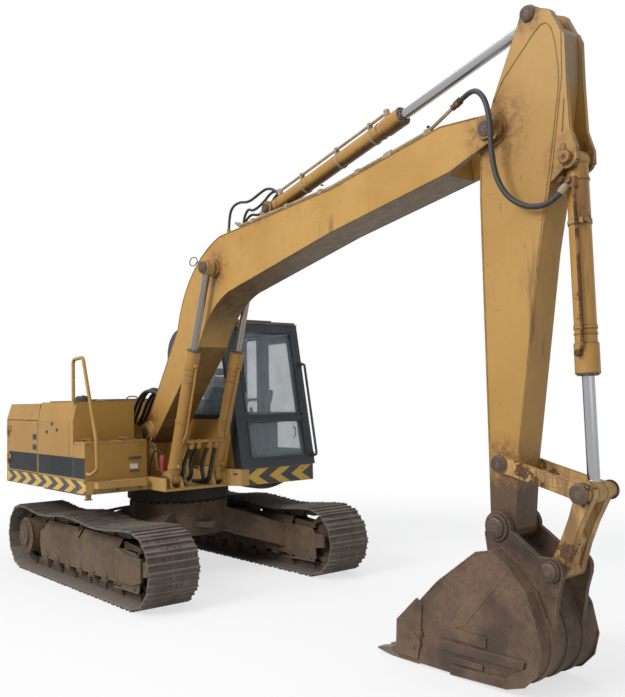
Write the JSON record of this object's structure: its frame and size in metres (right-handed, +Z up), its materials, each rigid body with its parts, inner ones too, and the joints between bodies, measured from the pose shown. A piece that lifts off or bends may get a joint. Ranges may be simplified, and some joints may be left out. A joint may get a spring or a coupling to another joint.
{
  "type": "crawler excavator",
  "caption": "Crawler excavator: tracks, revolving body with a cab, one-piece boom, stick and bucket moved by hydraulic cylinders, with opening door, lids and panels.",
  "frame": {"origin": "on the ground under the swing axis, at the middle of the tracks", "axes": "+X forward towards the bucket, +Y to the machine's left, +Z up"},
  "size_m": [7.3718, 2.522, 4.291],
  "materials": {
    "yellow_paint": "faded and chipped gloss",
    "dark_paint": "worn satin",
    "track_steel": "rusty and dusty",
    "worn_steel": "rusty, bright where it rubs",
    "cast_weight": "painted casting",
    "engine_iron": "oily",
    "chrome_rod": "polished",
    "glass": "dusty",
    "seat_fabric": "worn",
    "hose_rubber": "dusty",
    "plastic": "matte"
  },
  "bodies": {
    "undercarriage": {"car_body": "track_steel", "swing_ring_fixed": "worn_steel", "track_right": "track_steel", "track_left": "track_steel", "track_frame_right": "track_steel", "track_frame_left": "track_steel", "track_wheels_right": "track_steel", "track_wheels_left": "track_steel", "drive_right": "track_steel", "drive_left": "track_steel"},
    "upper": {"main_frame": "yellow_paint", "swing_ring_turning": "worn_steel", "belly_pan": "dark_paint", "counterweight": "cast_weight", "hood": "yellow_paint", "engine_block": "engine_iron", "fuel_tank": "yellow_paint", "tool_box": "yellow_paint", "handrail": "yellow_paint", "cab_frame": "dark_paint", "cab_roof": "dark_paint", "cab_glass": "glass", "seat": "seat_fabric", "cab_controls": "plastic", "cab_rail": "dark_paint"},
    "cab_door": {"cab_door": "dark_paint", "cab_door_glass": "glass"},
    "hood_lid": {"hood_lid": "yellow_paint"},
    "side_door_right": {"side_door_right": "yellow_paint"},
    "side_door_left": {"side_door_left": "yellow_paint"},
    "tool_box_lid": {"tool_box_lid": "yellow_paint"},
    "boom": {"boom": "yellow_paint", "boom_lines": "yellow_paint", "stick_hose": "hose_rubber"},
    "boom_barrels": {"boom_barrels": "yellow_paint"},
    "boom_rods": {"boom_rods": "chrome_rod"},
    "stick": {"stick": "yellow_paint"},
    "stick_barrel": {"stick_barrel": "yellow_paint"},
    "stick_rod": {"stick_rod": "chrome_rod"},
    "bucket": {"bucket": "worn_steel", "bucket_teeth": "worn_steel"},
    "rocker_links": {"rocker_links": "yellow_paint"},
    "bucket_link": {"bucket_link": "yellow_paint"},
    "bucket_barrel": {"bucket_barrel": "yellow_paint"},
    "bucket_rod": {"bucket_rod": "chrome_rod"}
  },
  "joints": [
    {"name": "swing", "type": "hinge", "parent": "undercarriage", "child": "upper", "pos_m": [0, 0, 0.85], "axis": [0, 0, 1], "continuous": true},
    {"name": "boom_lift", "type": "hinge", "parent": "upper", "child": "boom", "pos_m": [-0.01, -0.16, 1.49], "axis": [0, 1, 0], "range_deg": [-36, 56]},
    {"name": "boom_barrel_pivot", "type": "hinge", "parent": "upper", "child": "boom_barrels", "pos_m": [0.595, -0.16, 1.04], "axis": [0, 1, 0], "range_deg": [-34.73, 53.75]},
    {"name": "boom_rod_slide", "type": "slide", "parent": "boom_barrels", "child": "boom_rods", "axis": [0.3274, 0, 0.9449], "range_m": [-0.685, 0.4414]},
    {"name": "stick_swing", "type": "hinge", "parent": "boom", "child": "stick", "pos_m": [4.567, -0.16, 3.562], "axis": [0, -1, 0], "range_deg": [-12, 98], "deforming": ["stick_hose"]},
    {"name": "stick_barrel_pivot", "type": "hinge", "parent": "boom", "child": "stick_barrel", "pos_m": [2.01, -0.16, 3.535], "axis": [0, 1, 0], "range_deg": [-0.62, 1.47]},
    {"name": "stick_rod_slide", "type": "slide", "parent": "stick_barrel", "child": "stick_rod", "axis": [0.9717, 0, 0.2361], "range_m": [-1.1199, 0.1398]},
    {"name": "bucket_curl", "type": "hinge", "parent": "stick", "child": "bucket", "pos_m": [4.559, -0.16, 0.977], "axis": [0, -1, 0], "range_deg": [-60, 80]},
    {"name": "rocker_pivot", "type": "hinge", "parent": "stick", "child": "rocker_links", "pos_m": [4.569, -0.16, 1.38], "axis": [0, 1, 0], "range_deg": [-58.03, 43.65]},
    {"name": "link_pivot", "type": "hinge", "parent": "bucket", "child": "bucket_link", "pos_m": [4.95, -0.16, 0.755], "axis": [0, 1, 0], "range_deg": [-43.89, 58.36]},
    {"name": "bucket_barrel_pivot", "type": "hinge", "parent": "stick", "child": "bucket_barrel", "pos_m": [5.113, -0.16, 3.254], "axis": [0, 1, 0], "range_deg": [-0.71, 0.78]},
    {"name": "bucket_rod_slide", "type": "slide", "parent": "bucket_barrel", "child": "bucket_rod", "axis": [0.0208, 0, -0.9998], "range_m": [-0.5341, 0.4014]},
    {"name": "cab_door_hinge", "type": "hinge", "parent": "upper", "child": "cab_door", "pos_m": [-0.04, 1.22, 1.8], "axis": [0, 0, 1], "range_deg": [0, 110]},
    {"name": "hood_lid_hinge", "type": "hinge", "parent": "upper", "child": "hood_lid", "pos_m": [-0.916, 0, 1.829], "axis": [0, 1, 0], "range_deg": [0, 65]},
    {"name": "side_door_right_hinge", "type": "hinge", "parent": "upper", "child": "side_door_right", "pos_m": [-1.697, -1.249, 1.35], "axis": [0, 0, -1], "range_deg": [0, 100]},
    {"name": "side_door_left_hinge", "type": "hinge", "parent": "upper", "child": "side_door_left", "pos_m": [-1.697, 1.249, 1.35], "axis": [0, 0, 1], "range_deg": [0, 100]},
    {"name": "tool_box_lid_hinge", "type": "hinge", "parent": "upper", "child": "tool_box_lid", "pos_m": [0.105, 0, 1.449], "axis": [0, -1, 0], "range_deg": [0, 80]}
  ],
  "couplings": [
    {"joint": "boom_barrel_pivot", "follows": "boom_lift", "ratio": 0.9509},
    {"joint": "boom_rod_slide", "follows": "boom_lift", "m_per_rad": -0.6978},
    {"joint": "stick_barrel_pivot", "follows": "stick_swing", "ratio": 0.0099},
    {"joint": "stick_rod_slide", "follows": "stick_swing", "m_per_rad": -0.653},
    {"joint": "rocker_pivot", "follows": "bucket_curl", "ratio": -0.7191},
    {"joint": "link_pivot", "follows": "bucket_curl", "ratio": 0.7232},
    {"joint": "bucket_barrel_pivot", "follows": "bucket_curl", "ratio": 0.0035},
    {"joint": "bucket_rod_slide", "follows": "bucket_curl", "m_per_rad": -0.3804}
  ]
}
